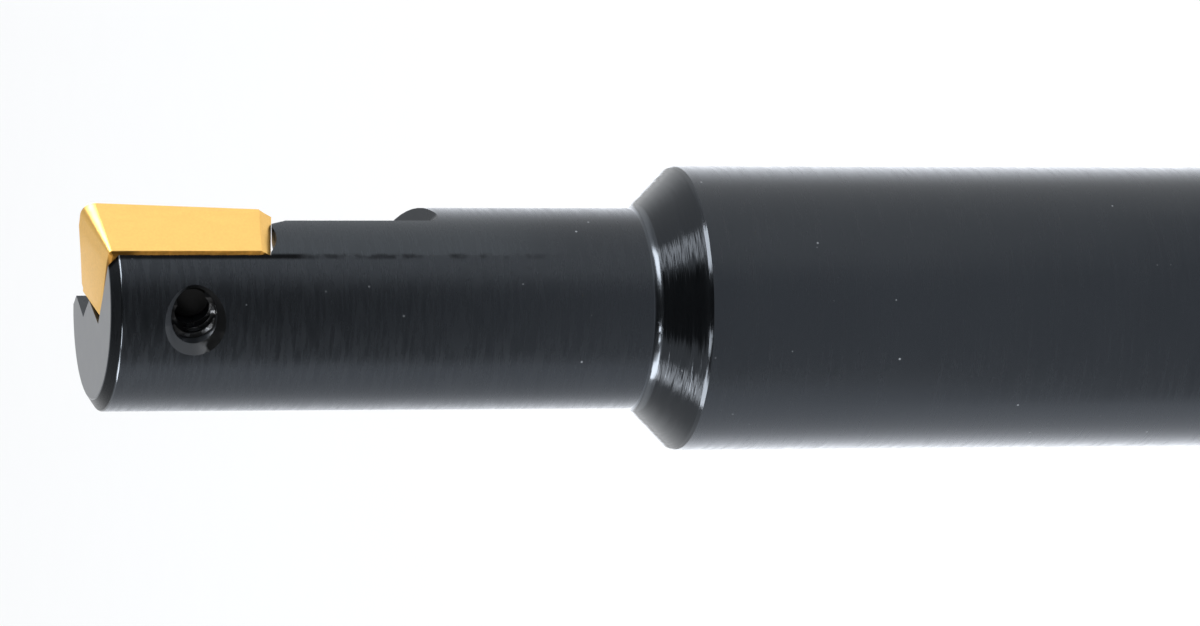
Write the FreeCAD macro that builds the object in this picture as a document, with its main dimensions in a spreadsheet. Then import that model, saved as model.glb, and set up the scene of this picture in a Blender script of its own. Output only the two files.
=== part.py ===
import FreeCAD, Part
import math
import os
import Sketcher

# Indexable end mill: a turned steel holder with one seated cutting insert and its clamping screw.
# Millimetres. The shank end face is at Z = 0 with the origin on its centre, and the nose points up.
# X runs outwards along the insert's seat, and the rake side faces +Y.

doc = FreeCAD.newDocument("IndexableEndMill")
spec = doc.addObject("Spreadsheet::Sheet", "spec")

SIZES = [
    # Turned body
    ("shank_dia", 15.875), ("shank_len", 48.34), ("neck_dia", 11.19), ("body_len", 81.46),
    ("end_chamfer", 1.0), ("face_dia", 9.8), ("nose_chamfer", 0.49), ("neck_fillet", 0.7),
    ("shoulder_break", 0.12), ("seam_turn", 22.5),
    # Clamping flat of the shank
    ("flat_centre", 24.0), ("flat_len", 10.2), ("flat_depth", 1.47),
    # Where the insert sits
    ("cut_dia", 12.7), ("lead", 1.09), ("seat_drop", 1.79), ("wall_gap", 0.02),
    # Insert
    ("ins_thick", 3.6), ("ins_width", 6.3), ("ins_length", 11.34), ("ins_relief", 11.0),
    ("wiper_relief", 17.0), ("end_relief", 9.6), ("wiper_len", 1.5), ("dish_angle", 8.5),
    ("facet_side", 0.44), ("facet_back", 0.81), ("foot_side", 0.35), ("foot_back", 0.55),
    ("nose_rad", 0.8), ("nose_foot", 0.2), ("edge_fall", 0.58), ("under_bevel", 0.2),
    ("land", 0.12), ("rake_width", 0.7), ("rake_depth", 0.25), ("table_half", 2.15),
    ("table_drop", 0.12), ("ins_bore", 2.8),
    # Clamping screw
    ("screw_dia", 2.5), ("head_dia", 3.5), ("head_half_angle", 30.0), ("head_rim", 0.15),
    ("head_seat", 2.75), ("head_dome", 0.1), ("screw_tip", 1.2), ("tip_chamfer", 0.3),
    ("drive_dia", 1.76), ("lobe_dia", 0.52), ("lobe_reach", 0.9), ("drive_depth", 1.0),
    ("thread_slack", 0.03), ("hole_break", 0.42),
    # Chip gullet above and behind the insert
    ("gullet_angle", 70.4), ("gullet_level", 2.74), ("gullet_back", 17.68), ("gullet_rad", 0.8),
    ("gullet_skew", 16.9),
    # Relief channel beside the unused edge
    ("channel_x", -1.73), ("channel_y", 1.46), ("channel_lean", 6.3), ("channel_len", 11.0),
    # Reliefs of the insert pocket
    ("corner_rad", 0.7), ("back_relief_rad", 2.0), ("back_relief_rise", 0.05),
    ("back_relief_top", 0.38), ("back_relief_fall", 0.5),
    ("ease_len", 0.8), ("ease_drop", 0.30), ("ease_back", 0.72),
]
for row, (name, value) in enumerate(SIZES, start=1):
    spec.set("A%d" % row, str(value))
    spec.setAlias("A%d" % row, name)
doc.recompute()


def number(expression):
    """Value of an expression written with the sheet's names."""
    value = spec.evalExpression(expression)
    return float(getattr(value, "Value", value))


def tied(text):
    """The same expression as another object of the document needs it."""
    out = text
    for name in sorted((n for n, _ in SIZES), key=len, reverse=True):
        out = out.replace(name, "<<" + name + ">>")
    for name, _ in SIZES:
        out = out.replace("<<" + name + ">>", "spec." + name)
    return out


def new_body(label):
    body = doc.addObject("PartDesign::Body", label)
    body.Label = label
    return body


def plane_of(body, role):
    return [f for f in body.Origin.OriginFeatures if f.Role == role][0]


def new_sketch(body, name, role, offset=None, turn=None):
    """Sketch on an origin plane, moved along its normal and turned about its upright axis."""
    sketch = body.newObject("Sketcher::SketchObject", name)
    sketch.AttachmentSupport = [(plane_of(body, role), "")]
    sketch.MapMode = "FlatFace"
    if offset:
        sketch.setExpression("AttachmentOffset.Base.z", tied(offset))
    if turn:
        spin = FreeCAD.Rotation(FreeCAD.Vector(0, 1, 0), number(turn))
        sketch.AttachmentOffset = FreeCAD.Placement(FreeCAD.Vector(0, 0, 0), spin)
        sketch.setExpression("AttachmentOffset.Rotation.Angle", tied(turn))
    return sketch


def pin_down(sketch, geo, pos, x_text, y_text):
    for kind, text in (("DistanceX", x_text), ("DistanceY", y_text)):
        if text is None:
            continue
        index = sketch.addConstraint(Sketcher.Constraint(kind, -1, 1, geo, pos, number(text)))
        sketch.setExpression("Constraints[%d]" % index, tied(text))


def outline(sketch, corners):
    """Closed outline through corners (x, y); a third entry (x, y) is the centre of the arc that leaves it."""
    spots = [FreeCAD.Vector(number(c[0]), number(c[1]), 0) for c in corners]
    ends = []
    for i, corner in enumerate(corners):
        here, there = spots[i], spots[(i + 1) % len(spots)]
        if len(corner) == 2:
            geo = sketch.addGeometry(Part.LineSegment(here, there), False)
            ends.append((geo, 1, 2))
            continue
        middle = FreeCAD.Vector(number(corner[2][0]), number(corner[2][1]), 0)
        first = math.atan2(here.y - middle.y, here.x - middle.x)
        last = math.atan2(there.y - middle.y, there.x - middle.x)
        forward = (last - first) % (2 * math.pi) < math.pi
        if not forward:
            first, last = last, first
        if last < first:
            last += 2 * math.pi
        circle = Part.Circle(middle, FreeCAD.Vector(0, 0, 1), (here - middle).Length)
        geo = sketch.addGeometry(Part.ArcOfCircle(circle, first, last), False)
        ends.append((geo, 1, 2) if forward else (geo, 2, 1))
    for i, (geo, start, end) in enumerate(ends):
        after, after_start, _ = ends[(i + 1) % len(ends)]
        sketch.addConstraint(Sketcher.Constraint("Coincident", geo, end, after, after_start))
    for (geo, start, end), corner in zip(ends, corners):
        pin_down(sketch, geo, start, corner[0], corner[1])
        if len(corner) == 3:
            pin_down(sketch, geo, 3, corner[2][0], None)
    return ends


def ring(sketch, x_text, y_text, radius_text):
    middle = FreeCAD.Vector(number(x_text), number(y_text), 0)
    circle = Part.Circle(middle, FreeCAD.Vector(0, 0, 1), number(radius_text))
    geo = sketch.addGeometry(circle, False)
    pin_down(sketch, geo, 3, x_text, y_text)
    index = sketch.addConstraint(Sketcher.Constraint("Radius", geo, number(radius_text)))
    sketch.setExpression("Constraints[%d]" % index, tied(radius_text))


def turned(body, name, sketch, kind="PartDesign::Revolution"):
    feature = body.newObject(kind, name)
    feature.Profile = sketch
    feature.ReferenceAxis = (sketch, ["V_Axis"])
    feature.Angle = 360.0
    doc.recompute()
    return feature


def cut(body, name, sketch, length, reverse=False, taper=None, along=None, both=False):
    """Pocket that must take material away."""
    before = body.Shape.Volume
    feature = body.newObject("PartDesign::Pocket", name)
    feature.Profile = sketch
    feature.Type = "Length"
    feature.setExpression("Length", tied(length))
    feature.Reversed = reverse
    if taper:
        feature.setExpression("TaperAngle", tied(taper))
    if along is not None:
        feature.UseCustomVector = True
        feature.Direction = along
    if both:
        feature.SideType = "Symmetric"
    doc.recompute()
    if not body.Shape.Volume < before - 1e-3:
        raise ValueError(name + " takes nothing away")
    return feature


# Names for lengths used in several places
INS_X = "sqrt((cut_dia / 2)^2 - (ins_thick - seat_drop)^2) - ins_width / 2"
INS_Z = "body_len + lead - ins_length / 2"
SIDE_FALL = "ins_thick * tan(ins_relief)"
DISH = "tan(dish_angle) * (ins_width - wiper_len - facet_side)"
CONE_TOP = "shank_len + shank_dia / 2 - neck_dia / 2"

# Holder: the turned blank; its profile stands so that the closing seam runs beside the clamping flat
holder = new_body("holder")
profile = new_sketch(holder, "holder_profile", "XZ_Plane", turn="seam_turn")
outline(profile, [
    ("0", "0"),
    ("shank_dia / 2 - end_chamfer", "0"),
    ("shank_dia / 2", "end_chamfer"),
    ("shank_dia / 2", "shank_len - shoulder_break"),
    ("shank_dia / 2 - shoulder_break * sin(45)", "shank_len + shoulder_break * sin(45)"),
    ("neck_dia / 2 + neck_fillet * tan(22.5) * sin(45)",
     CONE_TOP + " - neck_fillet * tan(22.5) * sin(45)",
     ("neck_dia / 2 + neck_fillet", CONE_TOP + " + neck_fillet * tan(22.5)")),
    ("neck_dia / 2", CONE_TOP + " + neck_fillet * tan(22.5)"),
    ("neck_dia / 2", "body_len - nose_chamfer"),
    ("face_dia / 2", "body_len"),
    ("0", "body_len"),
])
turned(holder, "holder_blank", profile)

# Holder: clamping flat across the shank
flat = new_sketch(holder, "flat_outline", "XZ_Plane", offset="-(shank_dia / 2 - flat_depth)")
outline(flat, [
    ("-shank_dia / 2", "flat_centre - flat_len / 2"),
    ("shank_dia / 2", "flat_centre - flat_len / 2"),
    ("shank_dia / 2", "flat_centre + flat_len / 2"),
    ("-shank_dia / 2", "flat_centre + flat_len / 2"),
])
cut(holder, "clamping_flat", flat, "flat_depth + 1", reverse=False)

# Holder: chip gullet, a flat with a round-cornered end wall that runs slightly askew
gullet = new_sketch(holder, "gullet_outline", "XZ_Plane", turn="gullet_angle")
outline(gullet, [
    ("gullet_level", "body_len + 2"),
    ("gullet_level", "body_len - gullet_back + gullet_rad",
     ("gullet_level + gullet_rad", "body_len - gullet_back + gullet_rad")),
    ("gullet_level + gullet_rad", "body_len - gullet_back"),
    ("neck_dia", "body_len - gullet_back"),
    ("neck_dia", "body_len + 2"),
])
lie = math.radians(number("gullet_angle") - 90)
skew = math.tan(math.radians(number("gullet_skew")))
cut(holder, "chip_gullet", gullet, "neck_dia * 2",
    along=FreeCAD.Vector(math.cos(lie), math.sin(lie), -skew), both=True)

# Holder: relief channel beside the insert's unused edge
channel = new_sketch(holder, "channel_outline", "XY_Plane", offset="body_len")
outline(channel, [
    ("channel_x", "channel_y"),
    ("1", "channel_y + (1 - channel_x) * tan(gullet_angle - 90)"),
    ("1", "neck_dia / 2"),
    ("channel_x - (neck_dia / 2 - channel_y) * tan(channel_lean)", "neck_dia / 2"),
])
cut(holder, "relief_channel", channel, "channel_len")

# Holder: insert pocket, milled from the rake side; its walls lean like the insert's flanks
WALL_X = "(" + INS_X + ") - ins_width / 2 + " + SIDE_FALL + " - wall_gap"
FOOT_X = "(" + INS_X + ") + ins_width / 2 - " + SIDE_FALL + " - foot_side"
FOOT_Z = "(" + INS_Z + ") - (ins_length / 2 - " + DISH + " - ins_thick * tan(end_relief)) - wall_gap"
pocket = new_sketch(holder, "pocket_outline", "XZ_Plane", offset="seat_drop")
outline(pocket, [
    (WALL_X, "(" + FOOT_Z + ") - ((" + FOOT_X + ") - (" + WALL_X + ")) * tan(dish_angle)"),
    ("shank_dia / 2", "(" + FOOT_Z + ") + (shank_dia / 2 - (" + FOOT_X + ")) * tan(dish_angle)"),
    ("shank_dia / 2", "body_len + 2"),
    (WALL_X, "body_len + 2"),
])
cut(holder, "insert_pocket", pocket, "seat_drop + neck_dia / 2", taper="ins_relief")

# Holder: round relief in the pocket's inner corner for the insert's second nose
corner = new_sketch(holder, "corner_outline", "XZ_Plane", offset="seat_drop")
CORNER_Z = "(" + FOOT_Z + ") - ((" + FOOT_X + ") - (" + WALL_X + ")) * tan(dish_angle)"
ring(corner, WALL_X + " + corner_rad * 0.5", CORNER_Z + " + corner_rad * 0.5", "corner_rad")
cut(holder, "corner_relief", corner, "seat_drop + neck_dia / 2")

# Holder: hollow of the pocket's end wall, so the insert bears at the foot and the rim; it falls outwards
hollow =new_sketch(holder, "hollow_outline", "YZ_Plane")
WALL_Z = "(" + FOOT_Z + ") - (" + FOOT_X + ") * tan(dish_angle)"
LOW_Y = "-seat_drop + back_relief_rise + neck_dia / 2 * back_relief_fall"
HIGH_Y = "back_relief_top + neck_dia / 2 * back_relief_fall"
LOW_Z = WALL_Z + " - (" + LOW_Y + " + seat_drop) * tan(ins_relief) + wall_gap"
HIGH_Z = WALL_Z + " - (" + HIGH_Y + " + seat_drop) * tan(ins_relief) + wall_gap"
low = FreeCAD.Vector(number(LOW_Y), number(LOW_Z), 0)
high = FreeCAD.Vector(number(HIGH_Y), number(HIGH_Z), 0)
chord = high - low
bulge = number("back_relief_rad")
reach = math.sqrt(bulge ** 2 - (chord.Length / 2) ** 2)
middle = (low + high) / 2 + FreeCAD.Vector(-chord.y, chord.x, 0) / chord.Length * reach
start = math.atan2(low.y - middle.y, low.x - middle.x)
finish = math.atan2(high.y - middle.y, high.x - middle.x)
arc = hollow.addGeometry(Part.ArcOfCircle(
    Part.Circle(middle, FreeCAD.Vector(0, 0, 1), bulge), start, finish), False)
line = hollow.addGeometry(Part.LineSegment(high, low), False)
hollow.addConstraint(Sketcher.Constraint("Coincident", arc, 1, line, 2))
hollow.addConstraint(Sketcher.Constraint("Coincident", arc, 2, line, 1))
pin_down(hollow, line, 2, LOW_Y, LOW_Z)
pin_down(hollow, line, 1, HIGH_Y, HIGH_Z)
index = hollow.addConstraint(Sketcher.Constraint("Radius", arc, bulge))
hollow.setExpression("Constraints[%d]" % index, tied("back_relief_rad"))
slope = math.tan(math.radians(number("dish_angle")))
lean = math.tan(math.radians(number("ins_relief")))
fall = number("back_relief_fall")
cut(holder, "wall_hollow", hollow, "shank_dia / 2",
    along=FreeCAD.Vector(1, -fall, slope + fall * lean))

# Holder: eased edge between the gullet floor and the pocket's end wall
ease = new_sketch(holder, "ease_outline", "XZ_Plane", turn="gullet_angle")
outline(ease, [
    ("gullet_level", WALL_Z + " - ease_back - ease_len"),
    ("gullet_level - ease_drop", WALL_Z + " - ease_back"),
    ("gullet_level - ease_drop", WALL_Z + " + ease_len"),
    ("gullet_level + 1", WALL_Z + " + ease_len"),
    ("gullet_level + 1", WALL_Z + " - ease_back - ease_len"),
])
cut(holder, "end_wall_ease", ease, "neck_dia",
    along=FreeCAD.Vector(1, math.tan(lie), slope - math.tan(lie) * lean))

# Holder: threaded hole from the seat out through the neck, at the thread's outer diameter
bore = new_sketch(holder, "bore_outline", "XZ_Plane", offset="seat_drop")
ring(bore, INS_X, INS_Z, "screw_dia / 2 + thread_slack")
cut(holder, "screw_hole", bore, "neck_dia / 2", reverse=True)


def exit_edge(shape):
    """Rim of the screw hole on the outside of the neck."""
    x, z = number(INS_X), number(INS_Z)
    radius = number("screw_dia / 2 + thread_slack")
    for i, edge in enumerate(shape.Edges, start=1):
        box = edge.BoundBox
        if (abs(box.XMin - x + radius) < 0.05 and abs(box.XMax - x - radius) < 0.05
                and abs(box.ZMin - z + radius) < 0.05 and abs(box.ZMax - z - radius) < 0.05
                and box.YMax < -number("seat_drop") - 0.5):
            return "Edge%d" % i
    raise ValueError("the rim of the screw hole is missing")


rim = holder.newObject("PartDesign::Chamfer", "hole_break")
rim.Base = (holder.getObject("screw_hole"), [exit_edge(holder.Shape)])
rim.setExpression("Size", tied("hole_break"))
doc.recompute()

# Insert: lofted through three outlines, foot edge, top of the foot bevel and rake level
# Its own frame: origin on the seat under the hole, X outwards, Y towards the shank, Z to the rake side
insert = new_body("insert")


def ins_outline(sketch, side, wiper, end, foot_in, foot_back, nose):
    """Ten-cornered outline with half-turn symmetry and round noses at two corners."""
    a = "ins_width / 2"
    b = "ins_length / 2"
    half = [
        (a + " - " + side, "-" + b + " + " + wiper + " + " + nose,
         (a + " - " + side + " - " + nose, "-" + b + " + " + wiper + " + " + nose)),
        (a + " - " + side + " - " + nose, "-" + b + " + " + wiper),
        (a + " - wiper_len", "-" + b + " + " + wiper),
        ("-" + a + " + " + side + " + " + foot_in, "-" + b + " + " + DISH + " + " + end),
        ("-" + a + " + " + side, "-" + b + " + " + DISH + " + " + end + " + " + foot_back),
    ]
    turned_half = []
    for corner in half:
        far = tuple("-(" + text + ")" for text in corner[:2])
        if len(corner) == 3:
            far = far + (tuple("-(" + text + ")" for text in corner[2]),)
        turned_half.append(far)
    outline(sketch, half + turned_half)


SIDE_MID = "(ins_thick - under_bevel) * tan(ins_relief)"
WIPER_MID = "(ins_thick - under_bevel) * tan(wiper_relief)"
END_MID = "(ins_thick - under_bevel) * tan(end_relief)"
foot = new_sketch(insert, "foot_outline", "XY_Plane")
ins_outline(foot, "(" + SIDE_MID + " + under_bevel)", "(" + WIPER_MID + " + under_bevel)",
            "(" + END_MID + " + under_bevel)", "foot_side * 0.9", "foot_back * 0.9", "nose_foot * 0.4")
bevel = new_sketch(insert, "bevel_outline", "XY_Plane", offset="under_bevel")
ins_outline(bevel, SIDE_MID, WIPER_MID, END_MID, "foot_side", "foot_back", "nose_foot")
top = new_sketch(insert, "top_outline", "XY_Plane", offset="ins_thick")
ins_outline(top, "0", "0", "0", "facet_side", "facet_back", "nose_rad")
blank = insert.newObject("PartDesign::AdditiveLoft", "insert_blank")
blank.Profile = foot
blank.Sections = [bevel, top]
blank.Ruled = True
doc.recompute()

# Insert: the four corners of the rake side alternate high and low, so each edge falls towards its end
FALL = "edge_fall / ins_width"
fronts = []
for name, side, sign in (("fall_front", "(ins_length / 2 + 0.5)", 1), ("fall_rear", "-(ins_length / 2 + 0.5)", -1)):
    section = new_sketch(insert, name, "XZ_Plane", offset=side)
    reach_text = "(ins_width / 2 + 0.5)"
    left = "ins_thick - edge_fall / 2 - %d * " % sign + reach_text + " * " + FALL
    right = "ins_thick - edge_fall / 2 + %d * " % sign + reach_text + " * " + FALL
    outline(section, [
        ("-" + reach_text, left), (reach_text, right),
        (reach_text, "ins_thick + 1"), ("-" + reach_text, "ins_thick + 1"),
    ])
    fronts.append(section)
shear = insert.newObject("PartDesign::SubtractiveLoft", "edge_falls")
shear.Profile = fronts[0]
shear.Sections = [fronts[1]]
shear.Ruled = True
doc.recompute()

# Insert: rake faces sloping down inside the edges, round a raised table for the screw hole
sections = []
EDGE_X = "(ins_width / 2 - land)"
VALLEY_X = "(ins_width / 2 - land - rake_width)"
for name, place, depth, drop in (
        ("rake_1", "(ins_length / 2 - 0.35)", "0.03", "0.02"),
        ("rake_2", "(ins_length / 2 - 1.6)", "rake_depth", "table_drop"),
        ("rake_3", "-(ins_length / 2 - 1.6)", "rake_depth", "table_drop"),
        ("rake_4", "-(ins_length / 2 - 0.35)", "0.03", "0.02")):
    section = new_sketch(insert, name, "XZ_Plane", offset=place)
    lean = "edge_fall / 2 * " + place + " / (ins_length / 2)"
    outer = "ins_thick - edge_fall / 2 + " + lean
    inner = "ins_thick - edge_fall / 2 - " + lean
    table = "ins_thick - edge_fall / 2 - " + drop
    outline(section, [
        (EDGE_X, outer), (VALLEY_X, outer + " - " + depth), ("table_half", table),
        ("-table_half", table), ("-" + VALLEY_X, inner + " - " + depth), ("-" + EDGE_X, inner),
        ("-" + EDGE_X, "ins_thick + 1"), (EDGE_X, "ins_thick + 1"),
    ])
    sections.append(section)
rake = insert.newObject("PartDesign::SubtractiveLoft", "rake_faces")
rake.Profile = sections[0]
rake.Sections = sections[1:]
rake.Ruled = True
doc.recompute()

# Insert: screw hole with the cone that the screw head bears on
SINK_Z = "head_seat - (head_dia / 2 - ins_bore / 2) / tan(head_half_angle)"
sink = new_sketch(insert, "sink_profile", "XZ_Plane")
outline(sink, [
    ("0", "-1"), ("ins_bore / 2", "-1"), ("ins_bore / 2", SINK_Z),
    ("ins_bore / 2 + 1.2", SINK_Z + " + 1.2 / tan(head_half_angle)"),
    ("0", SINK_Z + " + 1.2 / tan(head_half_angle)"),
])
before = insert.Shape.Volume
turned(insert, "screw_sink", sink, "PartDesign::Groove")
if not insert.Shape.Volume < before - 1:
    raise ValueError("the screw hole takes nothing away")

# Clamping screw: turned profile with a tapered head and a six-lobed drive, same frame as the insert
screw = new_body("clamp_screw")
stem = new_sketch(screw, "screw_profile", "XZ_Plane")
outline(stem, [
    ("0", "-screw_tip"), ("screw_dia / 2 - tip_chamfer", "-screw_tip"),
    ("screw_dia / 2", "-screw_tip + tip_chamfer"),
    ("screw_dia / 2", "head_seat - (head_dia - screw_dia) / 2 / tan(head_half_angle)"),
    ("head_dia / 2", "head_seat"), ("head_dia / 2", "head_seat + head_rim"),
    ("head_dia / 2 - head_dome", "head_seat + head_rim + head_dome"),
    ("0", "head_seat + head_rim + head_dome"),
])
turned(screw, "screw_blank", stem)
drive = new_sketch(screw, "drive_outline", "XY_Plane", offset="head_seat + head_rim + head_dome")
ring(drive, "0", "0", "drive_dia / 2")
cut(screw, "drive_core", drive, "drive_depth")
lobe = new_sketch(screw, "lobe_outline", "XY_Plane", offset="head_seat + head_rim + head_dome")
ring(lobe, "lobe_reach", "0", "lobe_dia / 2")
one = cut(screw, "drive_lobe", lobe, "drive_depth")
six = screw.newObject("PartDesign::PolarPattern", "drive_lobes")
six.Originals = [one]
six.Axis = (drive, ["N_Axis"])
six.Angle = 360.0
six.Occurrences = 6
screw.Tip = six
doc.recompute()

# Insert and screw share one place: on the seat, under the pocket's screw hole
for body in (insert, screw):
    body.Placement = FreeCAD.Placement(
        FreeCAD.Vector(0, 0, 0), FreeCAD.Rotation(FreeCAD.Vector(1, 0, 0), -90))
    body.setExpression("Placement.Base.x", tied(INS_X))
    body.setExpression("Placement.Base.y", tied("-seat_drop"))
    body.setExpression("Placement.Base.z", tied(INS_Z))
doc.recompute()

# Checks before anything is written
for item in doc.Objects:
    if "Invalid" in item.State or "Error" in item.State:
        raise ValueError(item.Name + " failed: " + str(item.State))
os.makedirs("parts", exist_ok=True)
for body in (holder, insert, screw):
    shape = body.Shape
    if shape.isNull() or not shape.isValid() or len(shape.Solids) != 1:
        raise ValueError(body.Label + " is not one valid solid")
    shape.exportStep("parts/" + body.Label + ".step")
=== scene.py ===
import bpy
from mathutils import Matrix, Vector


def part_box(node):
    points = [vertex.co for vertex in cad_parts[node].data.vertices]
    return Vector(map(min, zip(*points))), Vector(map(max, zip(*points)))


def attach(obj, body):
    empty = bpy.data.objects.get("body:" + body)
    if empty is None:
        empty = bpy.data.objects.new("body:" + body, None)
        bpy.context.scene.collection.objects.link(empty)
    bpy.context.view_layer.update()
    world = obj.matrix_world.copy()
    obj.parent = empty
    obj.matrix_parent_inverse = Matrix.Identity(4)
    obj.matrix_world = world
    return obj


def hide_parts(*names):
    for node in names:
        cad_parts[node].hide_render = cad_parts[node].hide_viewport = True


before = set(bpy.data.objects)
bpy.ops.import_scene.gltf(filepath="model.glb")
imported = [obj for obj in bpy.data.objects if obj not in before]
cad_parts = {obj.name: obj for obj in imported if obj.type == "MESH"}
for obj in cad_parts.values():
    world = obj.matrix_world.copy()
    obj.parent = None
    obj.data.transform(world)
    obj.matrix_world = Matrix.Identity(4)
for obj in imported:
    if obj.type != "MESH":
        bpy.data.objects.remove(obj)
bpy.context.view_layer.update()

import math

import bmesh
import bpy
from mathutils import Matrix, Vector

bl_info = {
    "name": "Indexable End Mill",
    "version": (1, 0, 0),
    "blender": (4, 5, 0),
    "location": "3D View > Sidebar > End Mill",
    "description": "Dresses the packed end mill: black oxide holder, gold insert, threaded hole and studio",
    "category": "Object",
}

MM = 0.001
NECK_R = 5.595 * MM
NOSE_Z = 81.46 * MM
SCREW_X = (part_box("clamp_screw")[0].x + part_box("clamp_screw")[1].x) / 2
SCREW_Z = (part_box("clamp_screw")[0].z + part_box("clamp_screw")[1].z) / 2
SCREW_TIP_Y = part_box("clamp_screw")[0].y
SEAT_Y = -1.79 * MM
FACE_R, NOSE_EDGE = 4.9 * MM, 80.97 * MM
NOSE_SLOPE = (NECK_R - FACE_R) / math.hypot(NECK_R - FACE_R, NOSE_Z - NOSE_EDGE)
SLOPES = (0.0, math.sqrt(0.5), -math.sqrt(0.5), NOSE_SLOPE)  # cylinders, shoulder, end chamfer, nose chamfer
PICTURE_TURN = math.radians(39.5)  # how far the tool is turned about its axis in the photograph
OUT = Vector((math.sin(PICTURE_TURN), -math.cos(PICTURE_TURN), 0))  # level, towards the camera
SIDE = Vector((math.cos(PICTURE_TURN), math.sin(PICTURE_TURN), 0))  # level, up in the picture
UP = Vector((0, 0, 1))
MIRROR_DROP = math.radians(15.9)  # the upright bars mirror what lies this far below level
CAMERA_SWAY = 0.00063  # fine sideways turn of the camera, in radians
POCKET_WALL = (69.5 * MM, 72 * MM)  # heights between which the pocket's end wall stands
WIPED = (54.5 * MM, 61 * MM)  # heights over which the wiped part of the rake side sets in
SHADE_LINE_Y = SEAT_Y - 0.08 * MM  # middle of the painted shadow line under the insert's seat
RIM_R = 1.78 * MM  # outside of the screw hole's broken rim, seen along the hole
THREAD_END_R = NECK_R - 0.62 * MM  # distance from the tool's axis at which the thread stops
TURNED, GROUND, COARSE, FACED, MILLED, NOSE, FILLET, POCKET, RIM = range(9)  # the holder's finishes


# Settings

class HolderSettings(bpy.types.PropertyGroup):
    oxide: bpy.props.FloatVectorProperty(
        name="Black oxide", description="Colour of the oxide layer on the steel",
        subtype="COLOR", size=3, min=0, max=1, default=(0.074, 0.081, 0.089))
    feed: bpy.props.FloatProperty(
        name="Turning feed", description="Spacing of the turning marks on the neck",
        subtype="DISTANCE", unit="LENGTH", default=0.13 * MM, min=0.05 * MM, max=1 * MM)
    coarse_feed: bpy.props.FloatProperty(
        name="Shoulder feed", description="Spacing of the coarser marks on the shoulder and chamfers",
        subtype="DISTANCE", unit="LENGTH", default=0.14 * MM, min=0.05 * MM, max=1 * MM)
    gloss: bpy.props.FloatProperty(
        name="Satin", description="Roughness of the oxide, from polished to matt",
        subtype="FACTOR", default=0.26, min=0.05, max=1)
    edge_break: bpy.props.FloatProperty(
        name="Edge break", description="Width of the rounding on the rims of the nose",
        subtype="DISTANCE", unit="LENGTH", default=0.07 * MM, min=0, max=0.5 * MM)


class InsertSettings(bpy.types.PropertyGroup):
    coating: bpy.props.FloatVectorProperty(
        name="Nitride coating", description="Colour of the gold nitride coating",
        subtype="COLOR", size=3, min=0, max=1, default=(0.925, 0.745, 0.431))
    grain: bpy.props.FloatProperty(
        name="Grinding grain", description="Spacing of the grinding lines on the flanks",
        subtype="DISTANCE", unit="LENGTH", default=0.05 * MM, min=0.01 * MM, max=1 * MM)


class ThreadSettings(bpy.types.PropertyGroup):
    pitch: bpy.props.FloatProperty(
        name="Pitch", description="Distance from one turn of the thread to the next",
        subtype="DISTANCE", unit="LENGTH", default=0.45 * MM, min=0.1 * MM, max=2 * MM)
    depth: bpy.props.FloatProperty(
        name="Depth", description="Height of the thread above the wall of the hole",
        subtype="DISTANCE", unit="LENGTH", default=0.24 * MM, min=0.05 * MM, max=1 * MM)
    outer: bpy.props.FloatProperty(
        name="Hole radius", description="Radius of the hole that carries the thread",
        subtype="DISTANCE", unit="LENGTH", default=1.28 * MM, min=0.5 * MM, max=5 * MM)
    turns: bpy.props.FloatProperty(
        name="Turns", description="Turns of thread from the screw's tip to beyond the outside",
        default=6.0, min=0.5, max=20)


class StageSettings(bpy.types.PropertyGroup):
    distance: bpy.props.FloatProperty(
        name="Camera distance", description="From the tool's axis to the camera, level with the aim",
        subtype="DISTANCE", unit="LENGTH", default=0.407634, min=0.05, max=5)
    lean: bpy.props.FloatProperty(
        name="Camera lean", description="How far the camera looks down from level",
        subtype="ANGLE", unit="ROTATION", default=0.277014, min=0, max=1.5)
    aim: bpy.props.FloatProperty(
        name="Aim height", description="Height of the point on the axis that the camera looks at",
        subtype="DISTANCE", unit="LENGTH", default=0.052505, min=0, max=1)
    roll: bpy.props.FloatProperty(
        name="Camera roll", description="Fine turn of the picture",
        subtype="ANGLE", unit="ROTATION", default=-0.0028, min=-1, max=1)
    lens: bpy.props.FloatProperty(
        name="Focal length", description="Focal length on a sensor 36 mm wide",
        default=227.72, min=20, max=1000)
    floor: bpy.props.FloatVectorProperty(
        name="Floor", description="Colour of the plain pale floor",
        subtype="COLOR", size=3, min=0, max=1, default=(0.96, 0.96, 0.96))
    sky: bpy.props.FloatProperty(
        name="Tent", description="Brightness of the white light tent round the tool",
        default=1.2, min=0, max=10)


# Helpers

def linear(colour):
    """Linear colour from three sRGB values from 0 to 1, as a colour setting holds them."""
    return [p / 12.92 if p <= 0.04045 else ((p + 0.055) / 1.055) ** 2.4 for p in colour] + [1.0]


def srgb(text):
    """Linear colour from an sRGB hex value."""
    return linear([int(text[i:i + 2], 16) / 255 for i in (1, 3, 5)])


def shade(colour, share):
    """Linear colour made darker or lighter by a share."""
    return [c * share for c in colour[:3]] + [1.0]


def add_node(tree, kind, settings=None, values=None, links=None):
    """Adds one node with its settings, its socket values and the links into it."""
    made = tree.nodes.new(kind)
    for key, value in (settings or {}).items():
        setattr(made, key, value)
    for key, value in (values or {}).items():
        made.inputs[key].default_value = value
    for key, source in (links or {}).items():
        tree.links.new(source, made.inputs[key])
    return made


def fade(tree, value, start, end, low=0.0, high=1.0):
    """Output that goes smoothly from low to high while the value goes from start to end."""
    return add_node(tree, "ShaderNodeMapRange", {"interpolation_type": "SMOOTHSTEP"},
                    {"From Min": start, "From Max": end, "To Min": low, "To Max": high},
                    {"Value": value}).outputs["Result"]


def times(tree, first, second):
    """Output that is the product of two others."""
    return add_node(tree, "ShaderNodeMath", {"operation": "MULTIPLY"},
                    links={0: first, 1: second}).outputs[0]


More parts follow.
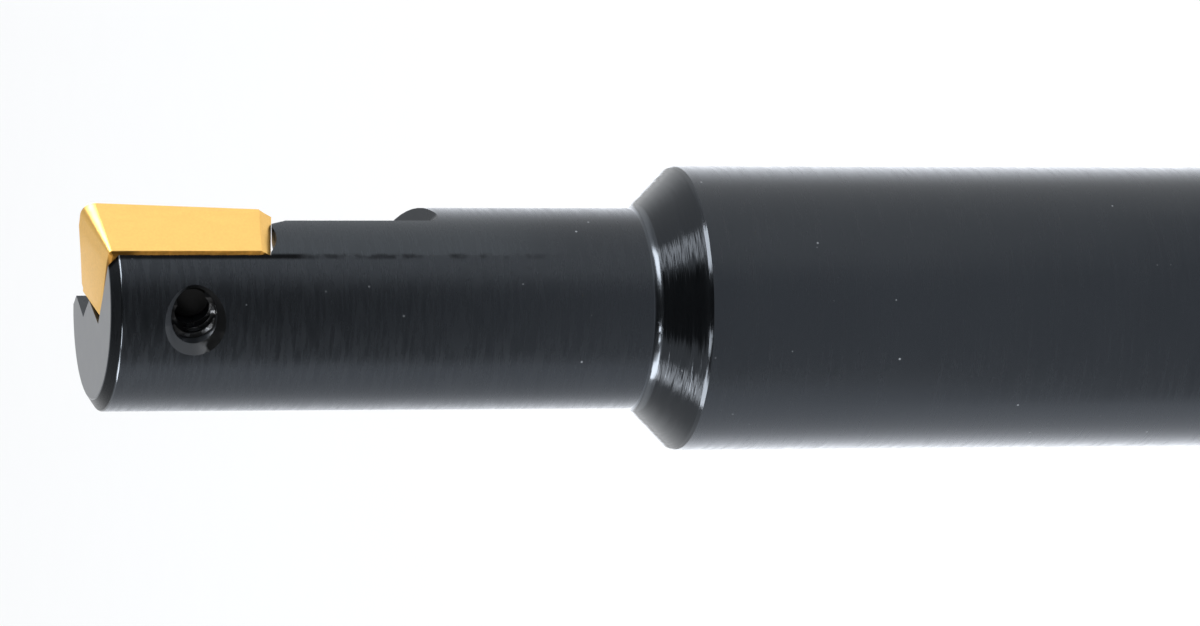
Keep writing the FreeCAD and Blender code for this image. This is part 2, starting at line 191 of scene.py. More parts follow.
def new_material(name):
    """Empty node material with its output."""
    made = bpy.data.materials.new(name)
    made.use_nodes = True
    made.node_tree.nodes.clear()
    out = made.node_tree.nodes.new("ShaderNodeOutputMaterial")
    return made, made.node_tree, out


def screw_rim(face, corners):
    """Whether a face belongs to the broken rim of the screw hole on the outside of the neck."""
    off = [math.hypot(c.x - SCREW_X, c.z - SCREW_Z) for c in corners]
    return face.center.y < SCREW_TIP_Y and max(off) < RIM_R and max(off) - min(off) > 0.2 * MM


def turned_face(face, mesh):
    """Slope of a face that the lathe made, as the upward part of its normal, or None for any other face."""
    way, where = face.normal, face.center
    level, away = math.hypot(way.x, way.y), math.hypot(where.x, where.y)
    if level < 0.05 or away < 4.4 * MM or way.x * where.x + way.y * where.y < 0.99 * level * away:
        return None
    corners = [mesh.vertices[i].co for i in face.vertices]
    if screw_rim(face, corners):
        return None
    outline = [(math.hypot(c.x, c.y), c.z) for c in corners]
    r0, z0 = outline[0]
    if any(abs((r - r0) * level + (z - z0) * way.z) > 0.02 * MM for r, z in outline):
        return None
    return min(SLOPES, key=lambda slope: abs(slope - way.z)) if any(
        abs(slope - way.z) < 0.03 for slope in SLOPES) else way.z


def true_normals(mesh, sharp, flat_area, turned):
    """Shades large faces as the machine left them and lets the small ones follow their neighbours."""
    mesh.polygons.foreach_set("use_smooth", [True] * len(mesh.polygons))
    mesh.set_sharp_from_angle(angle=math.radians(sharp))
    normals = [Vector(n.vector) for n in mesh.corner_normals]
    known, rest = {}, []
    for face in mesh.polygons:
        slope = turned_face(face, mesh) if turned else None
        for loop in face.loop_indices:
            spot = mesh.loops[loop].vertex_index
            if slope in SLOPES:
                corner = mesh.vertices[spot].co
                level = math.sqrt(1 - slope * slope) / math.hypot(corner.x, corner.y)
                normals[loop] = Vector((corner.x * level, corner.y * level, slope))
            elif face.area > flat_area:
                normals[loop] = Vector(face.normal)
            else:
                rest.append((loop, spot, face.index))
                continue
            known.setdefault(spot, []).append(normals[loop])
    for loop, spot, index in rest:
        way = mesh.polygons[index].normal
        near = max(known.get(spot, []), key=way.dot, default=None)
        if near is not None and near.dot(way) > math.cos(math.radians(sharp)):
            normals[loop] = near
    mesh.normals_split_custom_set(normals)


def merged_copy(node, name, sharp, flat_area, edge_break=0, rims=()):
    """Closed copy of a CAD node's mesh with flat faces joined.

    rims are rings, each a radius and a height, that are rounded by edge_break.
    """
    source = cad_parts[node].data
    bm = bmesh.new()
    bm.from_mesh(source)
    bmesh.ops.remove_doubles(bm, verts=bm.verts, dist=0.0005 * MM)
    bmesh.ops.dissolve_limit(bm, angle_limit=math.radians(0.3), verts=bm.verts, edges=bm.edges)
    weight = bm.edges.layers.float.new("bevel_weight_edge")
    for edge in bm.edges:
        for radius, height in rims:
            if all(abs(math.hypot(v.co.x, v.co.y) - radius) < 0.02 * MM and abs(v.co.z - height) < 0.02 * MM
                   for v in edge.verts):
                edge[weight] = 1.0
    mesh = bpy.data.meshes.new(name)
    bm.to_mesh(mesh)
    bm.free()
    made = bpy.data.objects.new(name, mesh)
    bpy.context.scene.collection.objects.link(made)
    if edge_break and rims:
        rounding = made.modifiers.new("edge break", "BEVEL")
        rounding.width, rounding.segments, rounding.limit_method = edge_break, 4, "WEIGHT"
        bpy.context.view_layer.update()
        rounded = bpy.data.meshes.new_from_object(
            made.evaluated_get(bpy.context.evaluated_depsgraph_get()))
        made.modifiers.clear()
        rounded.name = name
        made.data = rounded
    true_normals(made.data, sharp, flat_area, node == "holder")
    return made


# Finishes

def turned_oxide(name, settings, feed, depth, gloss, breakup=500.0, shine=0.5, tone_down=1.0):
    """Black oxide over turned or ground steel: a satin blue-black skin with fine rings round the tool.

    feed is the spacing of the rings and depth their height, in metres; breakup is how often a ring
    fades on its way round, in times per metre; shine is the strength of the mirror part and
    tone_down darkens the skin, which on the nose chamfer is painted shade.
    """
    oxide = shade(linear(settings.oxide), tone_down)
    made, tree, out = new_material(name)
    place = add_node(tree, "ShaderNodeTexCoord")
    rings = add_node(tree, "ShaderNodeMapping", values={"Scale": (breakup, breakup, 0.5 / feed)},
                     links={"Vector": place.outputs["Object"]})
    marks = add_node(tree, "ShaderNodeTexNoise", values={"Scale": 1.0, "Detail": 3.0, "Roughness": 0.6},
                     links={"Vector": rings.outputs["Vector"]})
    # Where the rake side was wiped smooth behind the insert the rings are gone and the skin is lighter
    split = add_node(tree, "ShaderNodeSeparateXYZ", links={"Vector": place.outputs["Object"]})
    above = fade(tree, split.outputs["Y"], SEAT_Y - 0.10 * MM, SEAT_Y + 0.05 * MM)
    along = fade(tree, split.outputs["Z"], *WIPED)
    near = add_node(tree, "ShaderNodeMath", {"operation": "GREATER_THAN"}, {1: 0.0},
                    {0: split.outputs["X"]}).outputs[0]
    wiped = times(tree, times(tree, above, along), near)
    # Patches of thicker and thinner oxide, 3 to 5 mm across
    cloud = add_node(tree, "ShaderNodeTexNoise", values={"Scale": 260.0, "Detail": 4.0},
                     links={"Vector": place.outputs["Object"]})
    tone = add_node(tree, "ShaderNodeMix", {"data_type": "RGBA"},
                    {"A": shade(oxide, 0.7), "B": shade(oxide, 1.3)}, {"Factor": cloud.outputs["Fac"]})
    lighter = add_node(tree, "ShaderNodeMix", {"data_type": "RGBA"}, {"B": srgb("#25282A")},
                       {"Factor": wiped, "A": tone.outputs["Result"]})
    # Painted shadow: a dark line just below the insert's seat, 0.3 mm wide, where shade falls under the
    # insert, which trails off in patches behind it; its mirror part is dimmed as painted shade too
    off = add_node(tree, "ShaderNodeMath", {"operation": "SUBTRACT"}, {1: SHADE_LINE_Y}, {0: split.outputs["Y"]})
    off = add_node(tree, "ShaderNodeMath", {"operation": "ABSOLUTE"}, links={0: off.outputs[0]})
    line = fade(tree, off.outputs[0], 0.24 * MM, 0.06 * MM)
    seat = fade(tree, split.outputs["Z"], 69.8 * MM, 71.2 * MM)
    shadow_patches = add_node(tree, "ShaderNodeTexNoise", values={"Scale": 1400.0, "Detail": 4.0},
                     links={"Vector": place.outputs["Object"]})
    shadow_patches = add_node(tree, "ShaderNodeMapRange", values={"From Min": 0.42, "From Max": 0.60, "To Max": 0.6},
                     links={"Value": shadow_patches.outputs["Fac"]})
    shadow_patches = add_node(tree, "ShaderNodeMath", {"operation": "MAXIMUM"},
                     links={0: times(tree, shadow_patches.outputs["Result"], along), 1: seat})
    painted_shade = times(tree, times(tree, shadow_patches.outputs[0], line), near)
    lighter = add_node(tree, "ShaderNodeMix", {"data_type": "RGBA"}, {"B": srgb("#040404")},
                       {"Factor": painted_shade, "A": lighter.outputs["Result"]})
    mirror = add_node(tree, "ShaderNodeMapRange", values={"To Min": shine, "To Max": shine * 0.15},
                      links={"Value": painted_shade})
    # Grit and dust, 0.1 mm across and about one to each 3 mm
    dust = add_node(tree, "ShaderNodeTexVoronoi", values={"Scale": 700.0},
                    links={"Vector": place.outputs["Object"]})
    speck = add_node(tree, "ShaderNodeMapRange",
                     values={"From Min": 0.055, "From Max": 0.035, "To Min": 0.0, "To Max": 1.0},
                     links={"Value": dust.outputs["Distance"]})
    thin = add_node(tree, "ShaderNodeMapRange", values={"From Min": 0.48, "From Max": 0.60},
                    links={"Value": cloud.outputs["Fac"]})
    few = times(tree, speck.outputs["Result"], thin.outputs["Result"])
    dusty = add_node(tree, "ShaderNodeMix", {"data_type": "RGBA"}, {"B": srgb("#8E9296")},
                     {"Factor": few, "A": lighter.outputs["Result"]})
    rough = add_node(tree, "ShaderNodeMapRange",
                     values={"From Min": 0.3, "From Max": 0.7, "To Min": gloss - 0.04,
                             "To Max": gloss + 0.06},
                     links={"Value": marks.outputs["Fac"]})
    height = add_node(tree, "ShaderNodeMix", {"data_type": "FLOAT"}, {"B": 0.5},
                      {"Factor": wiped, "A": marks.outputs["Fac"]})
    bump = add_node(tree, "ShaderNodeBump", values={"Strength": 1.0, "Distance": depth},
                    links={"Height": height.outputs["Result"]})
    skin = add_node(tree, "ShaderNodeBsdfPrincipled",
                    values={"Metallic": 0.0, "IOR": 1.5, "Specular Tint": srgb("#E6F1FF")},
                    links={"Base Color": dusty.outputs["Result"], "Roughness": rough.outputs["Result"],
                           "Specular IOR Level": mirror.outputs["Result"], "Normal": bump.outputs["Normal"]})
    tree.links.new(skin.outputs["BSDF"], out.inputs["Surface"])
    return made


def faced_oxide():
    """Grey oxide on the faced end: matt, with the faint circles of the facing cut; its light grey is partly
    painted reflection of the bright tent at a grazing angle.
    """
    made, tree, out = new_material("black oxide on faced steel with painted reflection")
    place = add_node(tree, "ShaderNodeTexCoord")
    flat = add_node(tree, "ShaderNodeMapping", values={"Scale": (1, 1, 0)},
                    links={"Vector": place.outputs["Object"]})
    away = add_node(tree, "ShaderNodeVectorMath", {"operation": "LENGTH"},
                    links={0: flat.outputs["Vector"]})
    turns = add_node(tree, "ShaderNodeMath", {"operation": "MULTIPLY"}, {1: 1 / (0.12 * MM)},
                     {0: away.outputs["Value"]})
    circles = add_node(tree, "ShaderNodeTexNoise", {"noise_dimensions": "1D"},
                       {"Scale": 1.0, "Detail": 2.0}, {"W": turns.outputs[0]})
    cloud = add_node(tree, "ShaderNodeTexNoise", values={"Scale": 900.0, "Detail": 4.0},
                     links={"Vector": place.outputs["Object"]})
    # Painted reflection: the light grey base colour stands in part for the tent mirrored at a grazing angle
    tone = add_node(tree, "ShaderNodeMix", {"data_type": "RGBA"},
                    {"A": srgb("#3C3E42"), "B": srgb("#535559")}, {"Factor": cloud.outputs["Fac"]})
    bump = add_node(tree, "ShaderNodeBump", values={"Strength": 0.5, "Distance": 0.003 * MM},
                    links={"Height": circles.outputs["Fac"]})
    rough = add_node(tree, "ShaderNodeMapRange", values={"To Min": 0.34, "To Max": 0.46},
                     links={"Value": cloud.outputs["Fac"]})
    skin = add_node(tree, "ShaderNodeBsdfPrincipled",
                    values={"Metallic": 0.0, "IOR": 1.6, "Specular IOR Level": 0.82},
                    links={"Base Color": tone.outputs["Result"], "Normal": bump.outputs["Normal"],
                           "Roughness": rough.outputs["Result"]})
    tree.links.new(skin.outputs["BSDF"], out.inputs["Surface"])
    return made


def milled_oxide(settings, name, shine=0.5, tone_down=1.0):
    """Black oxide over milled steel: the same skin without rings, with the faint sweep of an end mill."""
    made, tree, out = new_material(name)
    oxide = shade(linear(settings.oxide), tone_down)
    place = add_node(tree, "ShaderNodeTexCoord")
    # Cutter sweeps 0.4 mm apart, across the tool
    sweep = add_node(tree, "ShaderNodeMapping", values={"Scale": (300, 300, 2500)},
                     links={"Vector": place.outputs["Object"]})
    marks = add_node(tree, "ShaderNodeTexNoise", values={"Scale": 1.0, "Detail": 2.0},
                     links={"Vector": sweep.outputs["Vector"]})
    tone = add_node(tree, "ShaderNodeMix", {"data_type": "RGBA"},
                    {"A": shade(oxide, 0.8), "B": shade(oxide, 1.25)}, {"Factor": marks.outputs["Fac"]})
    rough = add_node(tree, "ShaderNodeMapRange",
                     values={"From Min": 0.3, "From Max": 0.7, "To Min": settings.gloss,
                             "To Max": settings.gloss + 0.12},
                     links={"Value": marks.outputs["Fac"]})
    bump = add_node(tree, "ShaderNodeBump", values={"Strength": 0.2, "Distance": 0.005 * MM},
                    links={"Height": marks.outputs["Fac"]})
    skin = add_node(tree, "ShaderNodeBsdfPrincipled",
                    values={"Metallic": 0.0, "IOR": 1.5, "Specular Tint": srgb("#E6F1FF"),
                            "Specular IOR Level": shine},
                    links={"Base Color": tone.outputs["Result"], "Roughness": rough.outputs["Result"],
                           "Normal": bump.outputs["Normal"]})
    tree.links.new(skin.outputs["BSDF"], out.inputs["Surface"])
    return made


def from_screw(tree, place):
    """Node that measures a place from the axis of the screw hole and drops the part along it."""
    return add_node(tree, "ShaderNodeMapping",
                    values={"Location": (-SCREW_X, 0, -SCREW_Z), "Scale": (1, 0, 1)},
                    links={"Vector": place.outputs["Object"]})


def countersunk_oxide():
    """Oxide on the broken rim of the screw hole: painted lighter grey and shinier towards the nose, black on
    the other side.
    """
    made, tree, out = new_material("rubbed black oxide on countersunk steel")
    place = add_node(tree, "ShaderNodeTexCoord")
    centred = from_screw(tree, place)
    side = add_node(tree, "ShaderNodeVectorMath", {"operation": "DOT_PRODUCT"}, {1: (-0.45, 0, 0.89)},
                    {0: centred.outputs["Vector"]})
    # The edge of the painted lighter part is ragged by about 0.3 mm
    ragged = add_node(tree, "ShaderNodeTexNoise", values={"Scale": 2200.0, "Detail": 3.0},
                      links={"Vector": place.outputs["Object"]})
    ragged = add_node(tree, "ShaderNodeMath", {"operation": "MULTIPLY_ADD"}, {1: 1.6 * MM, 2: -0.8 * MM},
                      {0: ragged.outputs["Fac"]})
    side = add_node(tree, "ShaderNodeMath", {"operation": "ADD"},
                    links={0: side.outputs["Value"], 1: ragged.outputs[0]})
    # Painted light: the side towards the nose is lighter and shinier because of how light falls on the rim
    rubbed = add_node(tree, "ShaderNodeMapRange", values={"From Min": -0.25 * MM, "From Max": 0.25 * MM},
                      links={"Value": side.outputs[0]})
    tone = add_node(tree, "ShaderNodeMix", {"data_type": "RGBA"},
                    {"A": srgb("#08090A"), "B": srgb("#303337")}, {"Factor": rubbed.outputs["Result"]})
    mirror = add_node(tree, "ShaderNodeMapRange", values={"To Min": 0.05, "To Max": 0.4},
                      links={"Value": rubbed.outputs["Result"]})
    skin = add_node(tree, "ShaderNodeBsdfPrincipled",
                    values={"Metallic": 0.0, "IOR": 1.5, "Roughness": 0.4},
                    links={"Base Color": tone.outputs["Result"],
                           "Specular IOR Level": mirror.outputs["Result"]})
    tree.links.new(skin.outputs["BSDF"], out.inputs["Surface"])
    return made


def nitride_coating(settings):
    """Gold nitride coating over ground carbide: a warm satin metal with the finest grinding lines."""
    made, tree, out = new_material("gold nitride on ground carbide")
    place = add_node(tree, "ShaderNodeTexCoord")
    lines = add_node(tree, "ShaderNodeMapping",
                     values={"Scale": (900, 1 / settings.grain, 900)},
                     links={"Vector": place.outputs["Object"]})
    marks = add_node(tree, "ShaderNodeTexNoise", values={"Scale": 1.0, "Detail": 3.0},
                     links={"Vector": lines.outputs["Vector"]})
    # Fine mottling of the coating, 0.1 mm across
    cloud = add_node(tree, "ShaderNodeTexNoise", values={"Scale": 7000.0, "Detail": 3.0},
                     links={"Vector": place.outputs["Object"]})
    coating = linear(settings.coating)
    tone = add_node(tree, "ShaderNodeMix", {"data_type": "RGBA"},
                    {"A": shade(coating, 0.89), "B": shade(coating, 1.09)}, {"Factor": cloud.outputs["Fac"]})
    # Painted shade: browner and darker on the bevel at the foot, standing in for the dark holder mirrored
    # there, in random patches
    split = add_node(tree, "ShaderNodeSeparateXYZ", links={"Vector": place.outputs["Object"]})
    foot = fade(tree, split.outputs["Y"], SEAT_Y + 0.25 * MM, SEAT_Y + 0.16 * MM)
    shade_mottle = add_node(tree, "ShaderNodeTexNoise", values={"Scale": 3200.0, "Detail": 3.0},
                     links={"Vector": place.outputs["Object"]})
    brown_shade = [c * share for c, share in zip(coating, (0.78, 0.61, 0.38))]
    thin = add_node(tree, "ShaderNodeMix", {"data_type": "RGBA"},
                    {"A": shade(brown_shade, 0.55), "B": shade(brown_shade, 1.35)}, {"Factor": shade_mottle.outputs["Fac"]})
    # Painted shade is darkest at the nose corner; the bevel on the end keeps its gold
    corner = fade(tree, split.outputs["Z"], NOSE_Z - 1.9 * MM, NOSE_Z - 1.0 * MM)
    thin = add_node(tree, "ShaderNodeMix", {"data_type": "RGBA"}, {"B": shade(brown_shade, 0.3)},
                    {"Factor": corner, "A": thin.outputs["Result"]})
    inside = fade(tree, split.outputs["Z"], NOSE_Z + 0.35 * MM, NOSE_Z - 0.05 * MM)
    tone = add_node(tree, "ShaderNodeMix", {"data_type": "RGBA"},
                    links={"Factor": times(tree, foot, inside), "A": tone.outputs["Result"],
                           "B": thin.outputs["Result"]})
    rough = add_node(tree, "ShaderNodeMapRange",
                     values={"From Min": 0.3, "From Max": 0.7, "To Min": 0.30, "To Max": 0.40},
                     links={"Value": marks.outputs["Fac"]})
    bump = add_node(tree, "ShaderNodeBump", values={"Strength": 0.15, "Distance": 0.002 * MM},
                    links={"Height": marks.outputs["Fac"]})
    skin = add_node(tree, "ShaderNodeBsdfPrincipled", values={"Metallic": 1.0},
                    links={"Base Color": tone.outputs["Result"], "Roughness": rough.outputs["Result"],
                           "Normal": bump.outputs["Normal"]})
    tree.links.new(skin.outputs["BSDF"], out.inputs["Surface"])
    return made


def screw_black():
    """Blackened screw steel with a fine grain: darker and more matt than the holder, with almost no mirror
    part, painted shade so the screw's tip shows as the hole's dark inside.
    """
    made, tree, out = new_material("blackened screw steel with painted shade")
    place = add_node(tree, "ShaderNodeTexCoord")
    grain = add_node(tree, "ShaderNodeTexNoise", values={"Scale": 5000.0, "Detail": 2.0},
                     links={"Vector": place.outputs["Object"]})
    rough = add_node(tree, "ShaderNodeMapRange", values={"To Min": 0.38, "To Max": 0.56},
                     links={"Value": grain.outputs["Fac"]})
    # Painted shade: near-black with almost no mirror part, for the dark inside of the hole
    tone = add_node(tree, "ShaderNodeMix", {"data_type": "RGBA"},
                    {"A": srgb("#040404"), "B": srgb("#080808")}, {"Factor": grain.outputs["Fac"]})
    bump = add_node(tree, "ShaderNodeBump", values={"Strength": 0.1, "Distance": 0.004 * MM},
                    links={"Height": grain.outputs["Fac"]})
    skin = add_node(tree, "ShaderNodeBsdfPrincipled",
                    values={"Metallic": 0.0, "IOR": 1.5, "Specular IOR Level": 0.06},
                    links={"Base Color": tone.outputs["Result"], "Roughness": rough.outputs["Result"],
                           "Normal": bump.outputs["Normal"]})
    tree.links.new(skin.outputs["BSDF"], out.inputs["Surface"])
    return made


def thread_steel(settings):
    """Thread in the hole: black and dull in the grooves as painted shade for the hole's dark inside, rubbed
    bright in places along the crests.
    """
    made, tree, out = new_material("black oxide with painted shade on cut thread")
    place = add_node(tree, "ShaderNodeTexCoord")
    centred = from_screw(tree, place)
    away = add_node(tree, "ShaderNodeVectorMath", {"operation": "LENGTH"},
                    links={0: centred.outputs["Vector"]})
    crest = fade(tree, away.outputs["Value"], settings.outer - settings.depth * 0.2,
                 settings.outer - settings.depth * 0.6)
    # The screw rubs the side towards the shank, in strokes 0.1 mm wide and 0.5 mm long round the hole
    side = add_node(tree, "ShaderNodeVectorMath", {"operation": "DOT_PRODUCT"}, {1: (-0.70, 0, -0.71)},
                    {0: centred.outputs["Vector"]})
    sector = fade(tree, side.outputs["Value"], settings.outer * 0.25, settings.outer * 0.7)
    fine = add_node(tree, "ShaderNodeMapping", values={"Scale": (1100, 5000, 1100)},
                    links={"Vector": place.outputs["Object"]})
    strokes = add_node(tree, "ShaderNodeTexNoise", values={"Scale": 1.0, "Detail": 2.0},
                       links={"Vector": fine.outputs["Vector"]})
    broken = add_node(tree, "ShaderNodeMapRange", values={"From Min": 0.50, "From Max": 0.58},
                      links={"Value": strokes.outputs["Fac"]})
    rubbed = times(tree, times(tree, crest, sector), broken.outputs["Result"])
    # Painted shade: the dark, dull part stands in for the shade inside the hole
    dark = add_node(tree, "ShaderNodeBsdfPrincipled",
                    values={"Base Color": srgb("#0D0E0F"), "Metallic": 0.0, "IOR": 1.5, "Roughness": 0.34,
                            "Specular IOR Level": 0.22})
    bright = add_node(tree, "ShaderNodeBsdfPrincipled",
                      values={"Base Color": srgb("#C9CBCE"), "Metallic": 1.0, "Roughness": 0.24})
    both = add_node(tree, "ShaderNodeMixShader",
                    links={0: rubbed, 1: dark.outputs["BSDF"], 2: bright.outputs["BSDF"]})
    tree.links.new(both.outputs["Shader"], out.inputs["Surface"])
    return made


# Pieces

class ENDMILL_OT_holder(bpy.types.Operator):
    """Holder: turned and milled faces under one black oxide skin"""
    bl_idname = "endmill.holder"
    bl_label = "Holder"

    def execute(self, context):
        settings = context.scene.endmill_holder
        made = merged_copy("holder", "holder_body", 18, 3 * MM * MM, settings.edge_break,
                           [(NECK_R, NOSE_EDGE), (FACE_R, NOSE_Z)])
        finishes = [
            turned_oxide("black oxide on turned steel", settings, settings.feed, 0.0022 * MM, settings.gloss),
            turned_oxide("black oxide on ground steel", settings, settings.feed, 0.0007 * MM,
                         settings.gloss - 0.02, 300.0),
            turned_oxide("black oxide on coarse-turned steel", settings, settings.coarse_feed,
                         0.045 * MM, 0.11, 130.0, tone_down=0.6),
            faced_oxide(),
            milled_oxide(settings, "black oxide on milled steel"),
            # Nose chamfer: darker skin and a weak mirror part, painted shade for the dark studio mirrored
            # there
            turned_oxide("black oxide with painted shade on turned steel", settings, settings.feed, 0.0022 * MM,
                         settings.gloss, shine=0.12, tone_down=0.8),
            turned_oxide("black oxide on burnished steel", settings, settings.feed, 0.0012 * MM, 0.16, 300.0,
                         shine=0.9, tone_down=0.7),
            # Pocket's end wall behind the insert: darker skin and almost no mirror part, painted shade for
            # the recess
            milled_oxide(settings, "black oxide with painted shade in the insert pocket", 0.08, 0.4),
            countersunk_oxide(),
        ]
        for finish in finishes:
            made.data.materials.append(finish)
        for face in made.data.polygons:
            slope = turned_face(face, made.data)
            away = math.hypot(face.center.x, face.center.y)
            if face.center.z > NOSE_Z - 0.02 * MM and face.normal.z > 0.95 or face.normal.z < -0.95:
                face.material_index = FACED
            elif slope is None and POCKET_WALL[0] < face.center.z < POCKET_WALL[1] and face.center.y > SEAT_Y:
                face.material_index = POCKET
            elif screw_rim(face, [made.data.vertices[i].co for i in face.vertices]):
                face.material_index = RIM
            elif slope is None:
                face.material_index = MILLED
            elif slope == NOSE_SLOPE:
                face.material_index = NOSE
            elif slope not in SLOPES and away < NECK_R + 0.8 * MM:
                face.material_index = FILLET
            elif slope:
                face.material_index = COARSE
            elif away > NECK_R + 0.5 * MM:
                face.material_index = GROUND
            else:
                face.material_index = TURNED
        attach(made, "root")
        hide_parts("holder")
        return {"FINISHED"}


def thread_tree(finish):
    """Node tree that winds a thread of the right section inside a round hole."""
    tree = bpy.data.node_groups.new("thread turns", "GeometryNodeTree")
    for name in ("Hole radius", "Depth", "Pitch", "Turns"):
        tree.interface.new_socket(name, in_out="INPUT", socket_type="NodeSocketFloat")
    tree.interface.new_socket("Geometry", in_out="OUTPUT", socket_type="NodeSocketGeometry")
    given = add_node(tree, "NodeGroupInput")
    height = add_node(tree, "ShaderNodeMath", {"operation": "MULTIPLY"},
                      links={0: given.outputs["Pitch"], 1: given.outputs["Turns"]})
    half = add_node(tree, "ShaderNodeMath", {"operation": "MULTIPLY"}, {1: 0.5},
                    {0: given.outputs["Depth"]})
    middle = add_node(tree, "ShaderNodeMath", {"operation": "SUBTRACT"},
                      links={0: given.outputs["Hole radius"], 1: half.outputs[0]})
    helix = add_node(tree, "GeometryNodeCurveSpiral", values={"Resolution": 96},
                     links={"Rotations": given.outputs["Turns"], "Start Radius": middle.outputs[0],
                            "End Radius": middle.outputs[0], "Height": height.outputs[0]})
    root = add_node(tree, "ShaderNodeMath", {"operation": "MULTIPLY"}, {1: 0.86},
                    {0: given.outputs["Pitch"]})
    crest = add_node(tree, "ShaderNodeMath", {"operation": "MULTIPLY"}, {1: 0.18},
                     {0: given.outputs["Pitch"]})
    section = add_node(tree, "GeometryNodeCurvePrimitiveQuadrilateral", {"mode": "TRAPEZOID"},
                       {"Offset": 0.0},
                       {"Bottom Width": root.outputs[0], "Top Width": crest.outputs[0],
                        "Height": given.outputs["Depth"]})
    upright = add_node(tree, "GeometryNodeSetCurveNormal", {"mode": "Z_UP"},
                       links={"Curve": helix.outputs["Curve"]})
    swept = add_node(tree, "GeometryNodeCurveToMesh", values={"Fill Caps": True},
                     links={"Curve": upright.outputs["Curve"], "Profile Curve": section.outputs["Curve"]})
    real = add_node(tree, "GeometryNodeRealizeInstances", links={"Geometry": swept.outputs["Mesh"]})
    dressed = add_node(tree, "GeometryNodeSetMaterial", values={"Material": finish},
                       links={"Geometry": real.outputs["Geometry"]})
    add_node(tree, "NodeGroupOutput", links={"Geometry": dressed.outputs["Geometry"]})
    return tree


class ENDMILL_OT_thread(bpy.types.Operator):
    """Thread: the turns that show in the hole beyond the screw's tip"""
    bl_idname = "endmill.thread"
    bl_label = "Thread in the hole"

    def execute(self, context):
        settings = context.scene.endmill_thread
        finish = thread_steel(settings)
        carrier = bpy.data.objects.new("thread_carrier", bpy.data.meshes.new("thread_carrier"))
        context.scene.collection.objects.link(carrier)
        winder = carrier.modifiers.new("winder", "NODES")
        winder.node_group = thread_tree(finish)
        given = {"Hole radius": settings.outer, "Depth": settings.depth,
                 "Pitch": settings.pitch, "Turns": settings.turns}
        for item in winder.node_group.interface.items_tree:
            if item.in_out == "INPUT":
                winder[item.identifier] = given[item.name]
        context.view_layer.update()
        solid = bpy.data.meshes.new_from_object(carrier.evaluated_get(context.evaluated_depsgraph_get()))
        carrier.modifiers.clear()
        bpy.data.objects.remove(carrier)
        solid.name = "screw_hole_thread"
        made = bpy.data.objects.new("screw_hole_thread", solid)
        context.scene.collection.objects.link(made)
        # The helix winds along its own Z; the hole runs along -Y from the screw's tip
        start = SCREW_TIP_Y - 0.02 * MM - settings.pitch * 0.45
        along_hole = Matrix.Rotation(math.radians(90), 4, "X")
        solid.transform(Matrix.Translation((SCREW_X, start, SCREW_Z)) @ along_hole)
        # The turns stop short of the neck's outside, where the countersink begins
        bar = bmesh.new()
        bmesh.ops.create_cone(bar, cap_ends=True, segments=192, radius1=THREAD_END_R, radius2=THREAD_END_R,
                              depth=20 * MM, matrix=Matrix.Translation((0, 0, SCREW_Z)))
        limit = bpy.data.meshes.new("thread_limit")
        bar.to_mesh(limit)
        bar.free()
        cutter = bpy.data.objects.new("thread_limit", limit)
        context.scene.collection.objects.link(cutter)
        trim = made.modifiers.new("trim", "BOOLEAN")
        trim.operation, trim.solver, trim.object = "INTERSECT", "EXACT", cutter
        context.view_layer.update()
        trimmed = bpy.data.meshes.new_from_object(made.evaluated_get(context.evaluated_depsgraph_get()))
        made.modifiers.clear()
        bpy.data.objects.remove(cutter)
        if len(trimmed.polygons) < 100:
            raise RuntimeError("the thread was cut away")
        trimmed.name = "screw_hole_thread"
        made.data = trimmed
        trimmed.polygons.foreach_set("use_smooth", [True] * len(trimmed.polygons))
        trimmed.set_sharp_from_angle(angle=math.radians(30))
        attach(made, "root")
        return {"FINISHED"}


class ENDMILL_OT_insert(bpy.types.Operator):
    """Insert: ground carbide under a gold nitride coating"""
    bl_idname = "endmill.insert"
    bl_label = "Insert"

    def execute(self, context):
        made = merged_copy("insert", "cutting_insert", 19, 0.8 * MM * MM)
        made.data.materials.append(nitride_coating(context.scene.endmill_insert))
        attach(made, "root")
        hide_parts("insert")
        return {"FINISHED"}


class ENDMILL_OT_screw(bpy.types.Operator):
    """Clamping screw: its head in the insert and its tip in the threaded hole"""
    bl_idname = "endmill.screw"
    bl_label = "Clamping screw"

    def execute(self, context):
        made = merged_copy("clamp_screw", "clamping_screw", 24, 3 * MM * MM)
        made.data.materials.append(screw_black())
        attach(made, "root")
        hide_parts("clamp_screw")
        return {"FINISHED"}


# Stage

def rectangle(middle, across, along, low, high):
    """Corners of a flat card, from low to high along its two ways, in millimetres from its middle."""
    return [middle + across * a * MM + along * b * MM
            for a, b in (low, (high[0], low[1]), high, (low[0], high[1]))]


def plate(name, corners):
    """One flat face through its corners."""
    mesh = bpy.data.meshes.new(name)
    mesh.from_pydata([tuple(c) for c in corners], [], [tuple(range(len(corners)))])
    made = bpy.data.objects.new(name, mesh)
    bpy.context.scene.collection.objects.link(made)
    return made


def softbox(name, way, distance, size, power, gloss_only=False, aim=60 * MM):
    """Rectangular studio light that shines at a point on the axis."""
    target = Vector((0, 0, aim))
    lamp = bpy.data.lights.new(name, "AREA")
    lamp.shape = "RECTANGLE"
    lamp.size, lamp.size_y = size
    lamp.energy = power
    made = bpy.data.objects.new(name, lamp)
    bpy.context.scene.collection.objects.link(made)
    made.location = target + way.normalized() * distance
    made.rotation_mode = "QUATERNION"
    made.rotation_quaternion = (target - made.location).to_track_quat("-Z", "Y")
    made.visible_diffuse = not gloss_only
    made.visible_glossy = gloss_only
    return made


